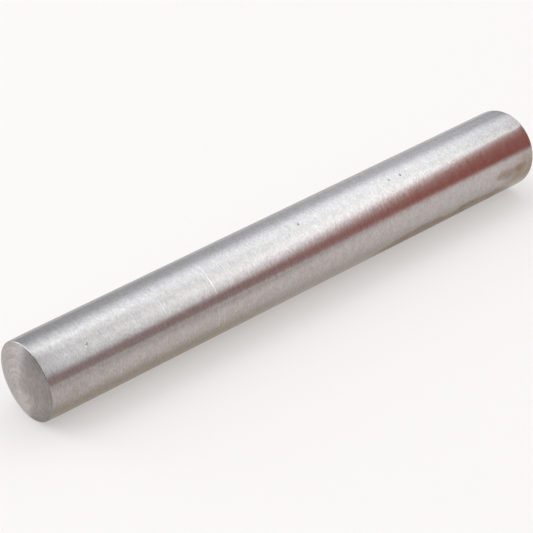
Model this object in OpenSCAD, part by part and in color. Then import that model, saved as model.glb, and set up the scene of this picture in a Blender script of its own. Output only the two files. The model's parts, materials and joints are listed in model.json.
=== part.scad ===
// Taper pin: one solid turned from bar, ground to a slight taper and crowned at both ends.
// The pin lies along X. The origin is the centre of the small end's rim, where the crown meets the taper.

/* [Taper] */
// Diameter at the small end's rim, by which the pin is named
small_d = 8; // [4:0.5:20]
// Length over both crowns
overall_l = 70; // [30:1:160]
// Growth of the diameter as a share of the length
taper_share = 0.02; // [0.01:0.005:0.06]

/* [Ends] */
// Height of the crown beyond the small end's rim
small_crown_h = 0.9; // [0.3:0.1:1.6]
// Height of the crown beyond the large end's rim
large_crown_h = 0.9; // [0.3:0.1:1.6]
// Radius of the broken edge round the small end
small_edge_r = 0.12; // [0.05:0.01:0.4]
// Radius of the broken edge round the large end
large_edge_r = 0.35; // [0.05:0.01:0.6]

/* [Hidden] */

// Facets of a full turn
turn_facets = 180;

// How far the bar and each cut run past what they shape
overrun = 1;

// Distance from a broken edge's centre to the faces that it joins, as a share of its radius
edge_bite_share = 0.98;

// From the small end's rim to the large end's
rim_l = overall_l - small_crown_h - large_crown_h;

// Growth of the radius for each unit along the axis
slope_share = taper_share / 2;

small_r = small_d / 2;
large_r = small_r + rim_l * slope_share;

steel_colour = [0.74, 0.73, 0.72];

// Radius of the ball whose cap of height crown_h has the rim radius rim_r
function crown_r(rim_r, crown_h) = (rim_r ^ 2 + crown_h ^ 2) / (2 * crown_h);

// Centre of the crown's ball, with the rim at height 0 and the pin above it
function crown_centre(rim_r, crown_h) = [0, crown_r(rim_r, crown_h) - crown_h];

// Unit vector square to the taper, pointing out of the metal
function taper_normal(slope) = [cos(atan(slope)), -sin(atan(slope))];

// Smaller root of a * y ^ 2 + 2 * b * y + c
function lower_root(a, b, c) = (-b - sqrt(b ^ 2 - a * c)) / a;

// Point at the distance inset inside both the crown and the taper
function edge_centre(rim_r, crown_h, slope, inset) =
    let (
        ball = crown_centre(rim_r, crown_h),
        reach = crown_r(rim_r, crown_h) - inset,
        inner_r = rim_r - inset / taper_normal(slope).x,
        height = lower_root(
            1 + slope ^ 2,
            inner_r * slope - ball.y,
            inner_r ^ 2 + ball.y ^ 2 - reach ^ 2
        )
    )
    [inner_r + slope * height, height];

// Half section of the bar after grinding, with both ends too long
module ground_bar() {
    small_y = -small_crown_h - overrun;
    large_y = rim_l + large_crown_h + overrun;
    polygon([
        [0, small_y],
        [small_r + small_y * slope_share, small_y],
        [small_r + large_y * slope_share, large_y],
        [0, large_y]
    ]);
}

// What facing an end to its crown takes off, with the rim at height 0
module crown_cut(rim_r, crown_h) {
    ball_r = crown_r(rim_r, crown_h);
    centre = crown_centre(rim_r, crown_h);
    depth = crown_h + centre.y + 2 * overrun;
    difference() {
        translate([-overrun, centre.y - depth])
            square([ball_r + overrun, depth]);
        translate(centre)
            circle(ball_r, $fn = turn_facets);
    }
}

// What breaking the edge between a crown and the taper takes off, with the rim at height 0
module edge_cut(rim_r, crown_h, slope, edge_r) {
    centre = edge_centre(rim_r, crown_h, slope, edge_r * edge_bite_share);
    from_ball = centre - crown_centre(rim_r, crown_h);
    to_crown = from_ball / norm(from_ball) * (edge_r + overrun);
    to_taper = taper_normal(slope) * (edge_r + overrun);
    difference() {
        polygon([centre, centre + to_crown, centre + to_crown + to_taper, centre + to_taper]);
        translate(centre)
            circle(edge_r, $fn = turn_facets);
    }
}

// Everything taken off one end, with the rim at height 0 and the pin above it
module end_cuts(rim_r, crown_h, slope, edge_r) {
    crown_cut(rim_r, crown_h);
    edge_cut(rim_r, crown_h, slope, edge_r);
}

// Half section of the finished pin, its axis along Y
module pin_section() {
    difference() {
        ground_bar();
        end_cuts(small_r, small_crown_h, slope_share, small_edge_r);
        translate([0, rim_l])
            mirror([0, 1])
                end_cuts(large_r, large_crown_h, -slope_share, large_edge_r);
    }
}

module taper_pin() {
    color(steel_colour)
        rotate([0, 90, 0])
            rotate_extrude($fn = turn_facets)
                pin_section();
}

taper_pin();
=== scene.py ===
from functools import reduce
import json
import math

import bpy
from mathutils import Matrix, Vector


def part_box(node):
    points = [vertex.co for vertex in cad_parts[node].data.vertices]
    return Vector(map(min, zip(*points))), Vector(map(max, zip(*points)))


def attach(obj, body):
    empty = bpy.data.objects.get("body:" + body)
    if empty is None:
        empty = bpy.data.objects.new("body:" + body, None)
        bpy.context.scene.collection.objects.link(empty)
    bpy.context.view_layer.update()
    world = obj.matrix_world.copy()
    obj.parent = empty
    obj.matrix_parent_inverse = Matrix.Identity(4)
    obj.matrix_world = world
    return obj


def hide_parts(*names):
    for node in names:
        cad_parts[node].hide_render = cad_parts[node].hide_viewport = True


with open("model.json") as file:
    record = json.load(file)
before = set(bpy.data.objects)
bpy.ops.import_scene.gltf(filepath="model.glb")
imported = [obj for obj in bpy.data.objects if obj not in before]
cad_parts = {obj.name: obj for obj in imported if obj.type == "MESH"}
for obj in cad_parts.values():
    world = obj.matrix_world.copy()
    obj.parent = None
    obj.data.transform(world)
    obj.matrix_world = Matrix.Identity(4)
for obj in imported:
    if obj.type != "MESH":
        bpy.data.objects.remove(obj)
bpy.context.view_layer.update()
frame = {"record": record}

# Sizes of the pin in metres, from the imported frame

MM = 0.001
seat = frame["record"]["mounts"][0]["dims"]
cad_low, cad_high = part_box("taper_pin")

SMALL_R = seat["r_mm"] * MM
RIM_L = seat["length_mm"] * MM
SLOPE = 0.01                      # growth of the radius along the axis, for a 1:50 taper
LARGE_R = SMALL_R + SLOPE * RIM_L
SMALL_CROWN_H = -cad_low.x
LARGE_CROWN_H = cad_high.x - RIM_L
SMALL_EDGE_R = 0.12 * MM
LARGE_EDGE_R = 0.35 * MM

TURN_STEPS = 240                  # facets round the axis
EDGE_STEPS = 7                    # facets across a broken edge
HAIR = 1e-6                       # step for a slope, and how near two stations have to be to count as one
WELD = 2e-7                       # distance within which the points of the seam and the poles are merged

# Rings that the facing cut left on the crowns

RING_PITCH = 0.29 * MM
RING_DEPTH = 0.005 * MM
RING_STEPS = 6                    # points across one ring
RING_MEAN, RING_SPREAD = 0.6, 0.3           # mean share of that depth, and how far it varies from ring to ring
RING_BEATS, RING_PHASE = (2.4, 0.9), 1.0    # radians for each ring of the two waves that vary it
MIDDLE_RING, MIDDLE_DEPTH = 4, 1.3          # number of the deeper ring round the middle, and its share

# Wear that rolls each end of the barrel off: length along the axis and drop of the radius at the rim

SMALL_ROLL = (2.4 * MM, 0.045 * MM)
LARGE_ROLL = (1.2 * MM, 0.020 * MM)
ROLL_STEPS = 6

# Ring scratches, lightened with a painted glint: distance from the small rim, half width, depth, arc in degrees up
# from the front, strength of the painted glint

SCRATCHES = (
    (19.58 * MM, 0.06 * MM, 0.004 * MM, 27, 60, 0.50),
    (19.58 * MM, 0.06 * MM, 0.003 * MM, 34, 88, 0.32),
    (19.22 * MM, 0.05 * MM, 0.004 * MM, -24, 24, 0.26),
    (19.90 * MM, 0.05 * MM, 0.004 * MM, -24, 25, 0.26),
    (13.58 * MM, 0.05 * MM, 0.004 * MM, 34, 62, 0.24),
)
SCRATCH_PASSES = (0.0, 0.12, 0.25)          # share of the arc that each pass leaves out at both ends
SCRATCH_SPREAD = 1.3              # half widths of a scratch that carry the painted glint
LINE_FULL, ARC_FULL = 0.2, 0.55   # shares of its half width and half arc with full strength
GUARD = 2.4                       # loops beside a mark, in half widths, that keep its shading from spreading

# Pits: distance from the small rim, angle in degrees up from the front, half width, depth, dirt in it

PITS = (
    (32.43 * MM, 68.7, 0.075 * MM, 0.05 * MM, 0.9),
    (46.10 * MM, 69.2, 0.060 * MM, 0.05 * MM, 0.7),
    (47.86 * MM, 68.5, 0.080 * MM, 0.05 * MM, 0.9),
    (4.87 * MM, 48.1, 0.07 * MM, 0.02 * MM, 0.15),
)
PIT_RIM = 0.02 * MM
PIT_FACES = 2                     # facets round the axis that one pit takes
PIT_SPREAD = 1.6                  # half widths of a pit that are dirty

# Brown patches: three stains near the large end, then a browning of the large end's last millimetres low on the
# front, then two rows of painted shade, the reflection of the shadow under the pin as a brown streak low on the
# front. Columns: distance from the small rim, angle, reach along the axis and round it, share of the reach with
# full strength, strength

STAIN_AND_SHADE_PATCHES = (
    (65.8 * MM, 0.0, 2.6 * MM, 1.05 * MM, 0.2, 1.20),
    (63.6 * MM, -0.5, 2.4 * MM, 0.95 * MM, 0.2, 1.00),
    (62.2 * MM, -1.0, 1.5 * MM, 0.75 * MM, 0.1, 0.75),
    (66.9 * MM, -9.0, 4.6 * MM, 3.0 * MM, 0.2, 0.84),
    # Painted shade: the reflection of the shadow under the pin, a brown streak low on the front
    (49.0 * MM, -34.5, 9.0 * MM, 1.40 * MM, 0.5, 0.92),
    (57.5 * MM, -33.0, 9.5 * MM, 1.40 * MM, 0.5, 0.98),
)
PATCH_INWARDS = 2.0 * MM          # reach of a patch from front to back
PATCH_WANDER = 0.9 * MM           # how far a patch's edge strays
PATCH_CURL, CURL_DETAIL = 2.2 * MM, 1.0     # size of the waves in that edge
MOTTLE, MOTTLE_DETAIL = 1.4 * MM, 1.5       # size of the paler places inside a patch
MOTTLE_LEVELS = (0.70, 1.0)
PATCH_ROUGH = 0.12                # roughness that a full patch adds

# Lay of the metal: width of its lines across the lay and length along it

FLECKS = (0.15 * MM, 0.32 * MM)
GROUND_LINES = (0.06 * MM, 1.6 * MM)
FACED_RINGS = (0.13 * MM, 5.0 * MM)
FACED_LINES = (0.06 * MM, 2.5 * MM)
RUBBED_LINES = (0.05 * MM, 1.5 * MM)
LAY_LAYERS = (                    # output, times wider, times longer, detail
    ("Lines", 1.0, 1.0, 3.0),
    ("Bands", 5.0, 3.0, 2.0),
)
LAY_ROUGHNESS = 0.55
NOISE_SPAN = (0.3, 0.7)           # range that most of a noise lies in
SPECK = 0.45 * MM                 # size of the specks on the crowns
SOFT = 0.2                        # share of a soft spot's reach that is full

# Finishes: stretch of the gloss, range of the tone from dark to light, roughness, relief

ROUND_THE_AXIS = 0.25             # turn of the stretch, so that it lies across the lay
BARREL_STRETCH, CROWN_STRETCH, EDGE_STRETCH = 0.35, 0.78, 0.4
BARREL_TONE, CROWN_TONE = (0.60, 1.20), (0.94, 1.36)
BAND_SHARE, GROUND_SHARE = 0.4, 0.4         # shares of wide flecks and ground lines in the barrel's tone
FACED_SHARE, SPECK_SHARE = 0.5, 0.8         # shares of faced lines and specks in the crowns' tone
BARREL_ROUGH, CROWN_ROUGH, EDGE_ROUGH = (0.190, 0.220), (0.32, 0.40), (0.20, 0.28)
BARREL_RELIEF, CROWN_RELIEF = 0.00015 * MM, 0.003 * MM
FLECK_HEIGHT = 30.0               # height of wide flecks, in heights of the ground lines
SMOOTHER = (45 * MM, 64 * MM, 1.0, 0.84)    # places between which the barrel's roughness falls, and its shares
FLATTER = (25 * MM, 60 * MM, 1.0, 0.75)     # the same for its relief

# Colours of the metal and of what is on it

STEEL_LIGHT = (0.550, 0.513, 0.494)
STEEL_DARK = (0.376, 0.345, 0.329)
CROWN_LIGHT = (0.550, 0.507, 0.484)
CROWN_DARK = (0.400, 0.366, 0.346)
# Painted glint of the ring scratches, brighter than bare steel
SCRATCH_GLINT_COLOUR = (0.80, 0.78, 0.77)
# Brown of the stains, and of the painted reflection of the shadow under the pin
STAIN_AND_SHADE_BROWN = (0.275, 0.192, 0.138)
PIT_DIRT = (0.02, 0.016, 0.013)

# View of the photograph

LENS = 88.307
SENSOR = 36.0
CLIP_NEAR, CLIP_FAR = 0.01, 10.0
AIM = Vector((30.98, 1.643, -1.70)) * MM
VIEW_DISTANCE = 136.24 * MM
HEADING = math.radians(43.39)     # from +Y towards +X
PITCH = math.radians(30.83)       # downwards

# Floor

FLOOR_SIZE = 3.0
FLOOR_ROUGH = 0.9
FLOOR_COLOUR = (0.800, 0.744, 0.702)
FLOOR_GLOW = (0.980, 0.960, 0.952)          # light that comes up through the floor
FLOOR_GLOW_SHARE = 0.40           # its share of what is seen near the pin
OPEN_FLOOR, FAR_FLOOR = 0.15, 0.80          # distances between which that share grows to the whole

# Light tent: a half tube of lit cloth over the pin. Angles are in degrees and go from the front floor over the
# top to the back floor. Reaches go along the tent, in its radii.

HALF_TURN, RIGHT_ANGLE = 180.0, 90.0
TENT_R = 1.5
TENT_HALF_L = 4.5
TENT_REACH = TENT_HALF_L / TENT_R
TENT_SIDES = 96                   # facets of the whole tube
TENT_HEM = -0.05                  # height at which it is cut off
TENT_STRENGTH = 3.2

CLOTH = (                         # angle, share of the strength
    (0, 0.50), (30, 0.76), (40, 0.90), (56, 1.00), (72, 0.86), (95, 0.73), (106, 0.505),
    (130, 0.305), (142, 0.205), (160, 0.170), (180, 0.15),
)
CLOTH_RED, FRONT_BLUE, MORE_BLUE = 0.94, 1.04, 0.04   # tint of the cloth, and what the back adds to its blue
FRONT_LEVEL = (                   # reach, level
    (-3.0, 0.40), (-0.2, 0.33), (0.40, 0.29), (0.53, 0.505), (0.63, 0.56), (0.765, 0.75), (0.86, 0.90),
    (1.03, 0.80), (1.12, 0.50), (3.0, 0.38),
)
BACK_LEVEL = (
    (-3.0, 0.46), (-0.7, 0.88), (-0.2, 0.75), (0.25, 0.35), (0.90, 0.56), (0.97, 0.57), (1.06, 0.46),
    (1.14, 0.37), (3.0, 0.34),
)
BACK_GAIN = 2.6
TURN_BACK = (88.0, 118.0)         # angles between which the front's level gives way to the back's
STREAKS = (                       # brighter or dimmer places: angle, reach, half sizes of both, gain
    (93.0, 0.42, 26.0, 0.28, 0.62),
    (156.0, -0.38, 20.0, 0.36, 2.2),
    (158.0, 1.10, 18.0, 0.16, 0.28),
    (92.0, 1.15, 30.0, 0.09, -0.24),
)

# Dark card on the front of the tent. Where a pair is given, it holds for the left and for the right.

CARD_TOP = (                      # reach, angle of its top edge
    (0.0, 23.0), (0.70, 25.0), (0.82, 43.5), (0.92, 55.5), (1.07, 68.5), (1.4, 76.5),
)
TOP_SOFT = (7.0, 1.5)
TOP_SPAN = (0.62, 0.86)           # reaches between which the left's value gives way to the right's
CARD_FOOT = (-2.0, 2.5)           # angle of its lower edge
FOOT_SOFT = (1.2, 9.0)
FOOT_SPAN = (0.76, 0.96)
CARD_START = (-1.3, -1.0)         # reaches between which it begins
CARD_GREY = (0.134, 0.106, 0.107)
CARD_RED, RED_SPAN = (0.147, 0.042, 0.034), (0.62, 0.93)
CARD_BROWN, BROWN_SPAN = (0.134, 0.051, 0.043), (0.95, 1.12)

# Dark flag on the left, with a paler patch low down

FLAG_X, FLAG_FRONT, FLAG_BACK, FLAG_TOP = -0.5, -0.60, 0.42, 0.46
FLAG_DARK, FLAG_PALE = (0.08, 0.078, 0.075), (0.55, 0.53, 0.52)
PALE_REACH = (1.0, 0.14, 0.12)

# Shade card on the floor. Each patch of it is a product of ramps: shares of x and of y in the distance along the
# ramp, start, stop, level at the start and at the stop.

SHADE_LEFT, SHADE_RIGHT, SHADE_FRONT, SHADE_BACK = -90 * MM, 700 * MM, -150 * MM, 600 * MM
SHADE_LIFT = 0.02 * MM
SHADE_GREY = (0.05, 0.045, 0.04)
SHADE_PATCHES = (
    (                             # at the small end, thinning out along the barrel
        (1.0, 0.0, -5.0 * MM, 0.0, 0.42, 0.14),
        (1.0, 0.0, 36.0 * MM, 14.0 * MM, 0.0, 1.0),
        (0.85, 1.0, -1.2 * MM, -4.2 * MM, 0.0, 1.0),
    ),
    (                             # further in front
        (0.0, 1.0, -8.0 * MM, -30.0 * MM, 0.0, 0.30),
        (1.0, 1.26, 22.0 * MM, 4.0 * MM, 0.0, 1.0),
    ),
    (                             # behind the small end
        (1.0, 1.0, 4.0 * MM, 9.0 * MM, 0.0, 0.17),
        (1.0, 0.0, 8.0 * MM, 2.0 * MM, 0.0, 1.0),
        (1.0, 0.0, -40.0 * MM, -22.0 * MM, 0.0, 1.0),
    ),
    (                             # behind the barrel
        (0.0, 1.0, 5.0 * MM, 12.0 * MM, 0.0, 0.26),
        (1.0, 0.0, 1.0 * MM, 7.0 * MM, 0.0, 1.0),
    ),
    (                             # close by the small end's foot
        (0.0, 1.0, 1.0 * MM, -0.3 * MM, 0.0, 0.36),
        (1.0, 0.0, -7.0 * MM, -4.5 * MM, 0.0, 1.0),
        (1.0, 0.0, 1.5 * MM, -0.5 * MM, 0.0, 1.0),
        (0.0, 1.0, -8.0 * MM, -5.0 * MM, 0.0, 1.0),
    ),
)
FOOT_SHADE_TINT = (0.82, 0.78, 0.685)   # painted shade: warm tint that the card lets through along the barrel's foot
CLEAR = (1.0, 1.0, 1.0)
# Where the warm painted shade lies along the foot
FOOT_SHADE_PATCH = (
    (0.0, 1.0, -7.0 * MM, -3.6 * MM, 0.0, 1.0),
    (0.0, 1.0, 1.0 * MM, -1.0 * MM, 0.0, 1.0),
    (1.0, 0.0, -2.0 * MM, 2.0 * MM, 0.0, 1.0),
    (1.0, 0.0, 18.0 * MM, 34.0 * MM, 1.0, 0.5),
)


# Mesh helpers

def deselect():
    """Leave nothing selected, in object mode."""
    if bpy.context.object and bpy.context.object.mode != "OBJECT":
        bpy.ops.object.mode_set(mode="OBJECT")
    bpy.ops.object.select_all(action="DESELECT")


def settle(name):
    """Name the active object, and put its place into its mesh."""
    made = bpy.context.object
    made.name = made.data.name = name
    bpy.ops.object.transform_apply(location=True, rotation=True, scale=True)
    return made


def pick(piece, kind, wanted):
    """Select only the vertices or faces that pass the test, and stay in edit mode."""
    bpy.ops.object.mode_set(mode="EDIT")
    bpy.ops.mesh.select_mode(type=kind)
    bpy.ops.mesh.select_all(action="DESELECT")
    bpy.ops.object.mode_set(mode="OBJECT")
    for part in piece.data.vertices if kind == "VERT" else piece.data.polygons:
        part.select = wanted(part)
    bpy.ops.object.mode_set(mode="EDIT")


def clock(place):
    """Angle of a place round the axis, in degrees up from the front."""
    return math.degrees(math.atan2(place.z, -place.y))


# Half section of the pin: points (distance along the axis, radius)

def barrel_r(x):
    """Radius of the taper, rolled off a little by wear at both ends."""
    radius = SMALL_R + SLOPE * x
    for into, (length, drop) in ((x, SMALL_ROLL), (RIM_L - x, LARGE_ROLL)):
        if into < length:
            radius -= drop * (1 - into / length) ** 2
    return radius


def barrel_slope(x):
    """Growth of the worn barrel's radius at a station."""
    return (barrel_r(x + HAIR) - barrel_r(x - HAIR)) / (2 * HAIR)


def on_barrel(x, degrees):
    """Place on the barrel at a station, so many degrees up from the front."""
    turn = math.radians(degrees)
    return Vector((x, -barrel_r(x) * math.cos(turn), barrel_r(x) * math.sin(turn)))


def ring_share(ring):
    """Depth of one turned ring, as a share of RING_DEPTH."""
    if ring == MIDDLE_RING:
        return MIDDLE_DEPTH
    fast, slow = RING_BEATS
    return RING_MEAN + RING_SPREAD * math.sin(fast * ring) * math.sin(slow * ring + RING_PHASE)


def crown_points(ball_x, ball_r, top, end):
    """Turned crown from the axis to the angle top, with the rings of the facing cut."""
    steps = round(ball_r * top / RING_PITCH) * RING_STEPS
    points = []
    for step in range(steps + 1):
        ring, along = divmod(step, RING_STEPS)
        across = along / RING_STEPS
        dip = RING_DEPTH * ring_share(ring) * 4 * across * (1 - across)
        angle = top * step / steps
        reach = ball_r - dip
        points.append(Vector((ball_x + end * reach * math.cos(angle), reach * math.sin(angle))))
    return points


def end_points(rim_x, rim_r, crown_h, edge_r, end):
    """Crown and broken edge of one end, from the axis to the taper. end is -1 or 1 along X."""
    ball_r = (rim_r ** 2 + crown_h ** 2) / (2 * crown_h)
    ball_x = rim_x + end * (crown_h - ball_r)
    tangent_x = rim_x - end * edge_r
    slope = barrel_slope(tangent_x)
    inner = barrel_r(tangent_x) - slope * tangent_x - edge_r * math.hypot(1, slope)
    a = 1 + slope ** 2
    b = inner * slope - ball_x
    c = inner ** 2 + ball_x ** 2 - (ball_r - edge_r) ** 2
    x = (-b + end * math.sqrt(b * b - a * c)) / a
    centre = Vector((x, inner + slope * x))
    from_ball = centre - Vector((ball_x, 0))
    first = math.atan2(from_ball.y, end * from_ball.x)
    last = math.pi / 2 + end * math.atan(slope)
    points = crown_points(ball_x, ball_r, first, end)
    for step in range(1, EDGE_STEPS + 1):
        angle = first + (last - first) * step / EDGE_STEPS
        points.append(centre + edge_r * Vector((end * math.cos(angle), math.sin(angle))))
    return points


def barrel_points(start, stop):
    """Stations on the taper, close together where it is rolled off and at scratches and pits."""
    places = set()
    for step in range(1, ROLL_STEPS + 1):
        places.add(SMALL_ROLL[0] * step / ROLL_STEPS)
        places.add(RIM_L - LARGE_ROLL[0] * step / ROLL_STEPS)
    for x, half, *_ in SCRATCHES:
        places.update((x - GUARD * half, x - half, x, x + half, x + GUARD * half))
    for x, _, half, _, _ in PITS:
        places.update((x - GUARD * half, x - half, x + half, x + GUARD * half))
    return [Vector((x, barrel_r(x))) for x in sorted(places) if start < x < stop]


def lathe(name, section):
    """Draw the half section point by point, and spin it round X."""
    deselect()
    first = section[0]
    bpy.ops.mesh.primitive_plane_add(size=MM, location=(first.x, 0, first.y))
    piece = settle(name)
    bpy.ops.object.mode_set(mode="EDIT")
    bpy.ops.mesh.select_all(action="SELECT")
    bpy.ops.mesh.merge(type="CENTER")
    for here, there in zip(section, section[1:]):
        step = there - here
        bpy.ops.mesh.extrude_region_move(TRANSFORM_OT_translate={"value": (step.x, 0, step.y)})
    bpy.ops.mesh.select_all(action="SELECT")
    bpy.ops.mesh.spin(steps=TURN_STEPS, angle=2 * math.pi, center=(0, 0, 0), axis=(1, 0, 0))
    bpy.ops.mesh.select_all(action="SELECT")
    bpy.ops.mesh.remove_doubles(threshold=WELD)
    bpy.ops.mesh.select_all(action="SELECT")
    bpy.ops.mesh.normals_make_consistent(inside=False)
    bpy.ops.object.mode_set(mode="OBJECT")
    bpy.ops.object.shade_smooth()
    return piece


def cut_scratch(piece, x, depth, start, stop):
    """Press a ring of vertices in along an arc, deeper in the middle of the arc than at its ends."""
    keep = 1 - depth / len(SCRATCH_PASSES) / barrel_r(x)
    for share in SCRATCH_PASSES:
        low, high = start + share * (stop - start), stop - share * (stop - start)
        pick(piece, "VERT", lambda v: abs(v.co.x - x) < HAIR and low <= clock(v.co) <= high)
        bpy.ops.transform.resize(value=(1, keep, keep), center_override=(x, 0, 0))
        bpy.ops.object.mode_set(mode="OBJECT")


def sink_pit(piece, x, degrees, depth):
    """Inset the faces at the pit, and push them into the metal."""
    place = on_barrel(x, degrees)
    faces = sorted(piece.data.polygons, key=lambda f: (f.center - place).length)[:PIT_FACES]
    chosen = {face.index for face in faces}
    inwards = -faces[0].normal.copy()
    pick(piece, "FACE", lambda f: f.index in chosen)
    bpy.ops.mesh.inset(thickness=PIT_RIM)
    bpy.ops.transform.translate(value=inwards * depth)
    bpy.ops.object.mode_set(mode="OBJECT")


# Shader helpers

def new_material(name):
    """New material; returns it, its node tree and its shader."""
    material = bpy.data.materials.new(name)
    material.use_nodes = True
    tree = material.node_tree
    return material, tree, tree.nodes["Principled BSDF"]


def put(tree, kind, inputs=None, **settings):
    """Add a node, set its properties, and link or set its inputs."""
    node = tree.nodes.new(kind)
    for key, value in settings.items():
        setattr(node, key, value)
    for key, value in (inputs or {}).items():
        if isinstance(value, bpy.types.NodeSocket):
            tree.links.new(value, node.inputs[key])
        else:
            node.inputs[key].default_value = value
    return node


def show(tree, shader):
    """Make a shader what the material shows."""
    tree.links.new(shader.outputs[0], tree.nodes["Material Output"].inputs["Surface"])


def position(tree):
    """Place on the object, in its own coordinates."""
    return put(tree, "ShaderNodeTexCoord").outputs["Object"]


def axes(tree, place):
    """X, Y and Z of a place."""
    return put(tree, "ShaderNodeSeparateXYZ", {0: place}).outputs


def reckon(tree, operation, *terms):
    """Math node on values or sockets."""
    return put(tree, "ShaderNodeMath", dict(enumerate(terms)), operation=operation).outputs[0]


def gather(tree, operation, values):
    """Join several values by one operation."""
    return reduce(lambda one, other: reckon(tree, operation, one, other), values)


def angle_round(tree, axis):
    """Angle round X, up from the front."""
    return reckon(tree, "ARCTAN2", axis["Z"], reckon(tree, "MULTIPLY", axis["Y"], -1.0))


def vector(tree, operation, *terms):
    """Vector Math node on vectors or sockets."""
    node = put(tree, "ShaderNodeVectorMath", dict(enumerate(terms)), operation=operation)
    return node.outputs["Value" if operation == "LENGTH" else "Vector"]


def fade(tree, value, start, stop, low=0.0, high=1.0, smooth=True):
    """Map Range node from start..stop to low..high."""
    return put(tree, "ShaderNodeMapRange", {
        "Value": value, "From Min": start, "From Max": stop, "To Min": low, "To Max": high,
    }, interpolation_type="SMOOTHSTEP" if smooth else "LINEAR").outputs["Result"]


def blend(tree, share, first, second):
    """Mix two colours. The node's inputs 0, 6 and 7 and its output 2 are those for colours."""
    node = put(tree, "ShaderNodeMix", data_type="RGBA")
    for socket, value in zip((node.inputs[0], node.inputs[6], node.inputs[7]), (share, first, second)):
        if isinstance(value, bpy.types.NodeSocket):
            tree.links.new(value, socket)
        else:
            socket.default_value = (*value, 1)
    return node.outputs[2]


def curve(tree, value, stops):
    """Grey ramp through stops (place from 0 to 1, level from 0 to 1)."""
    node = put(tree, "ShaderNodeValToRGB", {"Fac": value})
    elements = node.color_ramp.elements
    while len(elements) < len(stops):
        elements.new(0.5)
    for element, (where, level) in zip(elements, stops):
        element.position = where
        element.color = (level, level, level, 1)
    return node.outputs["Color"]


def new_group(name, inputs, outputs):
    """Empty node group with named sockets; returns the group, what it is given and what it gives."""
    group = bpy.data.node_groups.new(name, "ShaderNodeTree")
    for label, kind in inputs:
        group.interface.new_socket(label, in_out="INPUT", socket_type="NodeSocket" + kind)
    for label, kind in outputs:
        group.interface.new_socket(label, in_out="OUTPUT", socket_type="NodeSocket" + kind)
    return group, group.nodes.new("NodeGroupInput").outputs, group.nodes.new("NodeGroupOutput").inputs


def lay_group():
    """Fine tool lines: values that change fast across the lay and slowly along it."""
    group, given, made = new_group(
        "tool_lay",
        (("Across", "Float"), ("Position", "Vector"), ("Width", "Float"), ("Length", "Float")),
        (("Lines", "Float"), ("Bands", "Float")),
    )
    axis = axes(group, given["Position"])
    for label, wider, longer, detail in LAY_LAYERS:
        width = reckon(group, "MULTIPLY", given["Width"], wider)
        length = reckon(group, "MULTIPLY", given["Length"], longer)
        where = put(group, "ShaderNodeCombineXYZ", {
            "X": reckon(group, "DIVIDE", given["Across"], width),
            "Y": reckon(group, "DIVIDE", axis["Y"], length),
            "Z": reckon(group, "DIVIDE", axis["Z"], length),
        }).outputs[0]
        grain = put(group, "ShaderNodeTexNoise", {
            "Vector": where, "Scale": 1.0, "Detail": detail, "Roughness": LAY_ROUGHNESS})
        group.links.new(grain.outputs["Fac"], made[label])
    return group


def spot_group():
    """Soft round mask about a place."""
    group, given, made = new_group(
        "spot",
        (("Position", "Vector"), ("Place", "Vector"), ("Reach", "Vector"), ("Full", "Float")),
        (("Mask", "Float"),),
    )
    away = vector(group, "SUBTRACT", given["Position"], given["Place"])
    away = vector(group, "LENGTH", vector(group, "DIVIDE", away, given["Reach"]))
    group.links.new(fade(group, away, 1.0, given["Full"]), made["Mask"])
    return group


def ring_mark_group():
    """Thin line round the axis along an arc, fading at both ends of the arc."""
    group, given, made = new_group(
        "ring_mark",
        (("X", "Float"), ("Angle", "Float"), ("Place", "Float"), ("Half width", "Float"),
         ("Middle", "Float"), ("Half arc", "Float")),
        (("Mask", "Float"),),
    )
    masks = []
    for where, middle, half, full in (
            ("X", "Place", "Half width", LINE_FULL), ("Angle", "Middle", "Half arc", ARC_FULL)):
        off = reckon(group, "ABSOLUTE", reckon(group, "SUBTRACT", given[where], given[middle]))
        masks.append(fade(group, reckon(group, "DIVIDE", off, given[half]), 1.0, full))
    group.links.new(gather(group, "MULTIPLY", masks), made["Mask"])
    return group


LAY, SPOT, RING_MARK = lay_group(), spot_group(), ring_mark_group()


class Steel:
    """Bare steel: a metal shader whose grain runs round the pin's axis."""

    def __init__(self, name, stretch):
        self.material, self.tree, self.shader = new_material(name)
        self.shader.inputs["Metallic"].default_value = 1.0
        self.shader.inputs["Anisotropic"].default_value = stretch
        self.shader.inputs["Anisotropic Rotation"].default_value = ROUND_THE_AXIS
        round_axis = put(self.tree, "ShaderNodeTangent", direction_type="RADIAL", axis="X")
        self.link(round_axis.outputs["Tangent"], "Tangent")
        self.position = position(self.tree)
        self.axis = axes(self.tree, self.position)
        self.x = self.axis["X"]

    def link(self, value, socket):
        """Feed one of the shader's sockets."""
        self.tree.links.new(value, self.shader.inputs[socket])

    def radius(self):
        """Distance from the axis."""
        squares = [reckon(self.tree, "POWER", self.axis[name], 2.0) for name in "YZ"]
        return reckon(self.tree, "SQRT", gather(self.tree, "ADD", squares))

    def group(self, node_tree, **inputs):
        """Place a node group; an underscore stands for a space in an input's name."""
        named = {key.replace("_", " "): value for key, value in inputs.items()}
        return put(self.tree, "ShaderNodeGroup", named, node_tree=node_tree).outputs

    def lay(self, across, lines):
        """Tool lines of a width and length, one beside the other along across."""
        width, length = lines
        return self.group(LAY, Across=across, Position=self.position, Width=width, Length=length)

    def most(self, masks):
        """Highest of several masks."""
        return gather(self.tree, "MAXIMUM", masks)

    def noise(self, size, detail=3.0, output="Fac"):
        """Cloudy noise of a grain size."""
        return put(self.tree, "ShaderNodeTexNoise", {
            "Vector": self.position, "Scale": 1 / size, "Detail": detail}).outputs[output]

    def rough(self, lay, levels):
        """Roughness that follows the broad bands of a lay."""
        return fade(self.tree, lay["Bands"], *NOISE_SPAN, *levels, smooth=False)

    def relief(self, height, depth):
        """Fine relief of the surface."""
        bump = put(self.tree, "ShaderNodeBump", {"Height": height, "Strength": 1.0, "Distance": depth})
        self.link(bump.outputs["Normal"], "Normal")


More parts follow.
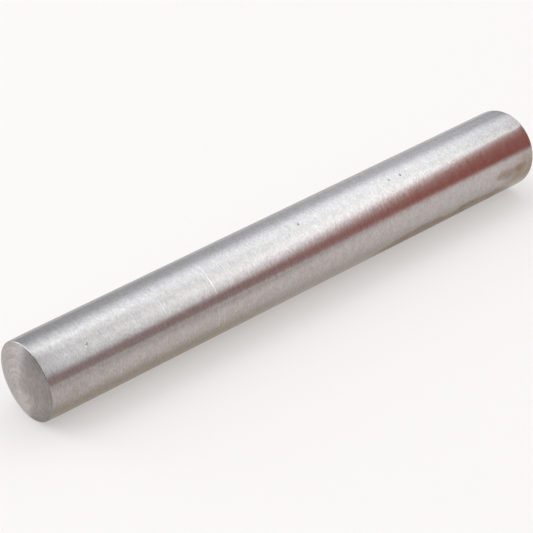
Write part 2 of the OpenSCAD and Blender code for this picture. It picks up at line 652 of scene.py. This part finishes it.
def scratch_glints(steel):
    """Mask of the painted glint along the ring scratches."""
    angle = angle_round(steel.tree, steel.axis)
    cuts = []
    for x, half, _, start, stop, glint_strength in SCRATCHES:
        mark = steel.group(
            RING_MARK, X=steel.x, Angle=angle, Place=x, Half_width=half * SCRATCH_SPREAD,
            Middle=math.radians((start + stop) / 2), Half_arc=math.radians((stop - start) / 2))
        cuts.append(reckon(steel.tree, "MULTIPLY", mark["Mask"], glint_strength))
    return steel.most(cuts)


def stain_and_shade_mask(steel):
    """Mask of the stains and of the painted shade streak, with straying edges and paler places inside."""
    tree = steel.tree
    stray = vector(tree, "SUBTRACT", steel.noise(PATCH_CURL, CURL_DETAIL, "Color"), (0.5, 0.5, 0.5))
    strayed = vector(tree, "MULTIPLY_ADD", stray, [PATCH_WANDER] * 3, steel.position)
    patches = []
    for x, degrees, along, around, full, strength in STAIN_AND_SHADE_PATCHES:
        patch = steel.group(SPOT, Position=strayed, Place=on_barrel(x, degrees),
                            Reach=(along, PATCH_INWARDS, around), Full=full)
        patches.append(reckon(tree, "MULTIPLY", patch["Mask"], strength))
    mottle = fade(tree, steel.noise(MOTTLE, MOTTLE_DETAIL), *NOISE_SPAN, *MOTTLE_LEVELS)
    return reckon(tree, "MULTIPLY", steel.most(patches), mottle)


def dirty_pits(steel):
    """Mask of the dirt in the pits."""
    holes = []
    for x, degrees, half, _, dirt in PITS:
        hole = steel.group(SPOT, Position=steel.position, Place=on_barrel(x, degrees),
                           Reach=[half * PIT_SPREAD] * 3, Full=SOFT)
        holes.append(reckon(steel.tree, "MULTIPLY", hole["Mask"], dirt))
    return steel.most(holes)


def ground_barrel():
    """Ground taper: short flecks and fine lines round the axis, scratches with a painted glint, pits, stains, and
    a painted reflection of the shadow under the pin.
    """
    steel = Steel("ground_barrel", BARREL_STRETCH)
    tree = steel.tree
    flecks = steel.lay(steel.x, FLECKS)
    lines = steel.lay(steel.x, GROUND_LINES)
    tone = reckon(tree, "MULTIPLY_ADD", flecks["Bands"], BAND_SHARE, flecks["Lines"])
    tone = reckon(tree, "MULTIPLY_ADD", lines["Lines"], GROUND_SHARE, tone)
    stain_and_shade = stain_and_shade_mask(steel)
    colour = blend(tree, fade(tree, tone, *BARREL_TONE, smooth=False), STEEL_DARK, STEEL_LIGHT)
    # Ring scratches lightened by a painted glint
    colour = blend(tree, scratch_glints(steel), colour, SCRATCH_GLINT_COLOUR)
    # Brown of the stains, and painted shade where the shadow under the pin is reflected
    colour = blend(tree, stain_and_shade, colour, STAIN_AND_SHADE_BROWN)
    steel.link(blend(tree, dirty_pits(steel), colour, PIT_DIRT), "Base Color")

    rough = reckon(tree, "MULTIPLY", steel.rough(lines, BARREL_ROUGH), fade(tree, steel.x, *SMOOTHER))
    steel.link(reckon(tree, "MULTIPLY_ADD", stain_and_shade, PATCH_ROUGH, rough), "Roughness")
    height = reckon(tree, "MULTIPLY_ADD", flecks["Bands"], FLECK_HEIGHT, lines["Lines"])
    steel.relief(reckon(tree, "MULTIPLY", height, fade(tree, steel.x, *FLATTER)), BARREL_RELIEF)
    return steel.material


def turned_crown():
    """Faced end: concentric lines of the cut and fine specks, on the rings that are in the mesh."""
    steel = Steel("turned_crown", CROWN_STRETCH)
    tree = steel.tree
    radius = steel.radius()
    rings = steel.lay(radius, FACED_RINGS)
    lines = steel.lay(radius, FACED_LINES)
    tone = reckon(tree, "MULTIPLY_ADD", lines["Lines"], FACED_SHARE, rings["Lines"])
    tone = reckon(tree, "MULTIPLY_ADD", steel.noise(SPECK), SPECK_SHARE, tone)
    light = fade(tree, tone, *CROWN_TONE, smooth=False)
    steel.link(blend(tree, light, CROWN_DARK, CROWN_LIGHT), "Base Color")
    steel.link(steel.rough(lines, CROWN_ROUGH), "Roughness")
    steel.relief(lines["Lines"], CROWN_RELIEF)
    return steel.material


def rubbed_edge():
    """Broken edge, rubbed smoother than the crown beside it."""
    steel = Steel("rubbed_edge", EDGE_STRETCH)
    lines = steel.lay(steel.x, RUBBED_LINES)
    light = fade(steel.tree, lines["Lines"], *NOISE_SPAN, smooth=False)
    steel.link(blend(steel.tree, light, STEEL_DARK, STEEL_LIGHT), "Base Color")
    steel.link(steel.rough(lines, EDGE_ROUGH), "Roughness")
    return steel.material


def taper_pin():
    """The whole pin: turned, ground, scratched and pitted, with a finish on each of its faces."""
    small_end = end_points(0.0, SMALL_R, SMALL_CROWN_H, SMALL_EDGE_R, -1)
    large_end = end_points(RIM_L, LARGE_R, LARGE_CROWN_H, LARGE_EDGE_R, 1)
    barrel = barrel_points(small_end[-1].x, large_end[-1].x)
    pin = lathe("ground_taper_pin", small_end + barrel + large_end[::-1])
    for x, _, depth, start, stop, _ in SCRATCHES:
        cut_scratch(pin, x, depth, start, stop)
    for x, degrees, _, depth, _ in PITS:
        sink_pit(pin, x, degrees, depth)

    for material in (ground_barrel(), turned_crown(), rubbed_edge()):
        pin.data.materials.append(material)
    crown_starts = small_end[-EDGE_STEPS - 1].x, large_end[-EDGE_STEPS - 1].x
    edge_starts = small_end[-1].x, large_end[-1].x
    for face in pin.data.polygons:
        x = face.center.x
        if x < crown_starts[0] or x > crown_starts[1]:
            face.material_index = 1
        elif x < edge_starts[0] or x > edge_starts[1]:
            face.material_index = 2
    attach(pin, "root")
    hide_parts("taper_pin")


# Stage

def lay_on_floor(piece, lift=0.0):
    """Drop the corners of a level plane to the floor, which follows the taper's lowest line."""
    for corner in range(len(piece.data.vertices)):
        pick(piece, "VERT", lambda v: v.index == corner)
        drop = lift - SMALL_R - SLOPE * piece.data.vertices[corner].co.x
        bpy.ops.transform.translate(value=(0, 0, drop))
        bpy.ops.object.mode_set(mode="OBJECT")


def for_metal_only(card):
    """Let a card be seen in the metal, but not by the camera, the floor or the light."""
    card.visible_camera = card.visible_diffuse = card.visible_shadow = False


def floor_slab():
    """Pale floor, on which the taper rests along its lowest line. It glows white, and keeps the pin's shadow."""
    deselect()
    bpy.ops.mesh.primitive_plane_add(size=FLOOR_SIZE)
    slab = settle("floor")
    lay_on_floor(slab)
    material, tree, shader = new_material("pale_floor")
    shader.inputs["Base Color"].default_value = (*FLOOR_COLOUR, 1)
    shader.inputs["Roughness"].default_value = FLOOR_ROUGH
    shader.inputs["Specular IOR Level"].default_value = 0.0
    ray = put(tree, "ShaderNodeLightPath").outputs
    seen = gather(tree, "MAXIMUM", [ray["Is %s Ray" % kind] for kind in ("Camera", "Glossy", "Transmission")])
    away = vector(tree, "LENGTH", position(tree))
    share = fade(tree, away, OPEN_FLOOR, FAR_FLOOR, FLOOR_GLOW_SHARE, 1.0)
    glow = put(tree, "ShaderNodeEmission", {"Color": (*FLOOR_GLOW, 1), "Strength": 1.0}).outputs[0]
    show(tree, put(tree, "ShaderNodeMixShader", {
        0: reckon(tree, "MULTIPLY", seen, share), 1: shader.outputs[0], 2: glow}))
    slab.data.materials.append(material)


def ramps(tree, axis, patch):
    """Product of the ramps of one patch."""
    levels = []
    for x_share, y_share, start, stop, low, high in patch:
        aside = reckon(tree, "MULTIPLY", axis["Y"], y_share)
        along = reckon(tree, "MULTIPLY_ADD", axis["X"], x_share, aside)
        levels.append(fade(tree, along, start, stop, low, high))
    return gather(tree, "MULTIPLY", levels)


def shade_card():
    """Thin grey card of painted shade on the floor, with a warm painted shade along the barrel's foot, which only
    the metal shows.
    """
    deselect()
    middle = ((SHADE_LEFT + SHADE_RIGHT) / 2, (SHADE_FRONT + SHADE_BACK) / 2, 0)
    bpy.ops.mesh.primitive_plane_add(size=1, location=middle)
    bpy.context.object.scale = (SHADE_RIGHT - SHADE_LEFT, SHADE_BACK - SHADE_FRONT, 1)
    card = settle("shade_card")
    lay_on_floor(card, SHADE_LIFT)
    material, tree, shader = new_material("painted_floor_shade")
    tree.nodes.remove(shader)
    axis = axes(tree, position(tree))
    # Painted shade on the floor, seen only in the metal
    cover = gather(tree, "MAXIMUM", [ramps(tree, axis, patch) for patch in SHADE_PATCHES])
    shade_tint = blend(tree, ramps(tree, axis, FOOT_SHADE_PATCH), CLEAR, FOOT_SHADE_TINT)
    clear = put(tree, "ShaderNodeBsdfTransparent", {"Color": shade_tint}).outputs[0]
    grey = put(tree, "ShaderNodeBsdfDiffuse", {"Color": (*SHADE_GREY, 1)}).outputs[0]
    show(tree, put(tree, "ShaderNodeMixShader", {0: cover, 1: clear, 2: grey}))
    card.data.materials.append(material)
    for_metal_only(card)


def cloth_light(tree, degrees, reach, level):
    """Colour of the cloth: bright overhead, grey behind. level makes a ramp along the tent."""
    cloth = curve(tree, reckon(tree, "DIVIDE", degrees, HALF_TURN), [(a / HALF_TURN, share) for a, share in CLOTH])
    turn_back = fade(tree, degrees, *TURN_BACK)
    front = level(FRONT_LEVEL)
    back = reckon(tree, "MULTIPLY", level(BACK_LEVEL), BACK_GAIN)
    gain = reckon(tree, "MULTIPLY_ADD", turn_back, reckon(tree, "SUBTRACT", back, front), front)
    lit = reckon(tree, "MULTIPLY", cloth, gain)
    place = put(tree, "ShaderNodeCombineXYZ", {"X": degrees, "Y": reach}).outputs[0]
    for where, u, half_angle, half_reach, extra in STREAKS:
        streak = put(tree, "ShaderNodeGroup", {
            "Position": place, "Place": (where, u, 0), "Reach": (half_angle, half_reach, 1), "Full": SOFT,
        }, node_tree=SPOT).outputs["Mask"]
        more = fade(tree, streak, 0.0, 1.0, 1.0, 1.0 + extra, smooth=False)
        lit = reckon(tree, "MULTIPLY", lit, more)
    blue = reckon(tree, "MULTIPLY_ADD", turn_back, MORE_BLUE, FRONT_BLUE)
    return put(tree, "ShaderNodeCombineXYZ", {
        "X": reckon(tree, "MULTIPLY", lit, CLOTH_RED), "Y": lit, "Z": reckon(tree, "MULTIPLY", lit, blue),
    }).outputs[0]


def tent_colour(tree):
    """Lit cloth, and on its front a dark card that turns red and taller to the right."""
    axis = axes(tree, position(tree))
    degrees = reckon(tree, "DEGREES", angle_round(tree, axis))
    reach = reckon(tree, "DIVIDE", axis["X"], TENT_R)
    along = fade(tree, reach, -TENT_REACH, TENT_REACH, smooth=False)

    def level(stops):
        return curve(tree, along, [((u + TENT_REACH) / (2 * TENT_REACH), share) for u, share in stops])

    lit = cloth_light(tree, degrees, reach, level)
    top = level([(u, a / RIGHT_ANGLE) for u, a in CARD_TOP])
    over = reckon(tree, "SUBTRACT", degrees, reckon(tree, "MULTIPLY", top, RIGHT_ANGLE))
    over = reckon(tree, "DIVIDE", over, fade(tree, reach, *TOP_SPAN, *TOP_SOFT))
    under = reckon(tree, "SUBTRACT", degrees, fade(tree, reach, *FOOT_SPAN, *CARD_FOOT))
    under = reckon(tree, "DIVIDE", under, fade(tree, reach, *FOOT_SPAN, *FOOT_SOFT))
    card = gather(tree, "MULTIPLY", [
        fade(tree, over, 1.0, -1.0), fade(tree, under, -1.0, 1.0), fade(tree, reach, *CARD_START)])
    dark = blend(tree, fade(tree, reach, *RED_SPAN), CARD_GREY, CARD_RED)
    dark = blend(tree, fade(tree, reach, *BROWN_SPAN), dark, CARD_BROWN)
    return blend(tree, card, lit, dark)


def light_tent():
    """Half tube of cloth that gives off the light of the scene."""
    deselect()
    bpy.ops.mesh.primitive_cylinder_add(
        vertices=TENT_SIDES, radius=TENT_R, depth=2 * TENT_HALF_L, end_fill_type="NOTHING",
        rotation=(0, math.pi / 2, 0))
    tent = settle("light_tent")
    bpy.ops.object.mode_set(mode="EDIT")
    bpy.ops.mesh.select_all(action="SELECT")
    bpy.ops.mesh.bisect(plane_co=(0, 0, TENT_HEM), plane_no=(0, 0, 1), clear_inner=True)
    bpy.ops.object.mode_set(mode="OBJECT")
    material, tree, shader = new_material("tent_light")
    tree.nodes.remove(shader)
    show(tree, put(tree, "ShaderNodeEmission", {"Color": tent_colour(tree), "Strength": TENT_STRENGTH}))
    tent.data.materials.append(material)
    tent.visible_camera = False


def dark_flag():
    """Dark grey card on the left, paler low down, which only the metal shows."""
    deselect()
    middle = Vector((FLAG_X, (FLAG_FRONT + FLAG_BACK) / 2, FLAG_TOP / 2))
    bpy.ops.mesh.primitive_plane_add(size=1, location=middle, rotation=(0, math.pi / 2, 0))
    bpy.context.object.scale = (FLAG_TOP, FLAG_BACK - FLAG_FRONT, 1)
    flag = settle("dark_flag")
    material, tree, shader = new_material("black_card")
    shader.inputs["Specular IOR Level"].default_value = 0.0
    pale = put(tree, "ShaderNodeGroup", {
        "Position": position(tree), "Place": (FLAG_X, 0, 0), "Reach": PALE_REACH, "Full": SOFT,
    }, node_tree=SPOT).outputs["Mask"]
    tree.links.new(blend(tree, pale, FLAG_DARK, FLAG_PALE), shader.inputs["Base Color"])
    flag.data.materials.append(material)
    for_metal_only(flag)


def white_world():
    """White room beyond the floor."""
    world = bpy.data.worlds.new("white_room")
    world.use_nodes = True
    world.node_tree.nodes["Background"].inputs["Color"].default_value = (*FLOOR_GLOW, 1)
    bpy.context.scene.world = world


def photo_camera():
    """Camera of the photograph, level with the floor."""
    lens = bpy.data.cameras.new("camera")
    lens.lens, lens.sensor_width, lens.sensor_fit = LENS, SENSOR, "HORIZONTAL"
    lens.clip_start, lens.clip_end = CLIP_NEAR, CLIP_FAR
    camera = bpy.data.objects.new("camera", lens)
    bpy.context.collection.objects.link(camera)
    level = math.cos(PITCH)
    ahead = Vector((math.sin(HEADING) * level, math.cos(HEADING) * level, -math.sin(PITCH)))
    right = ahead.cross(Vector((SLOPE, 0, 1))).normalized()
    turned = Matrix((right, right.cross(ahead), -ahead)).transposed().to_4x4()
    camera.matrix_world = Matrix.Translation(AIM - ahead * VIEW_DISTANCE) @ turned
    bpy.context.scene.camera = camera


taper_pin()
floor_slab()
light_tent()
dark_flag()
shade_card()
white_world()
photo_camera()
bpy.context.scene.view_settings.view_transform = "Standard"
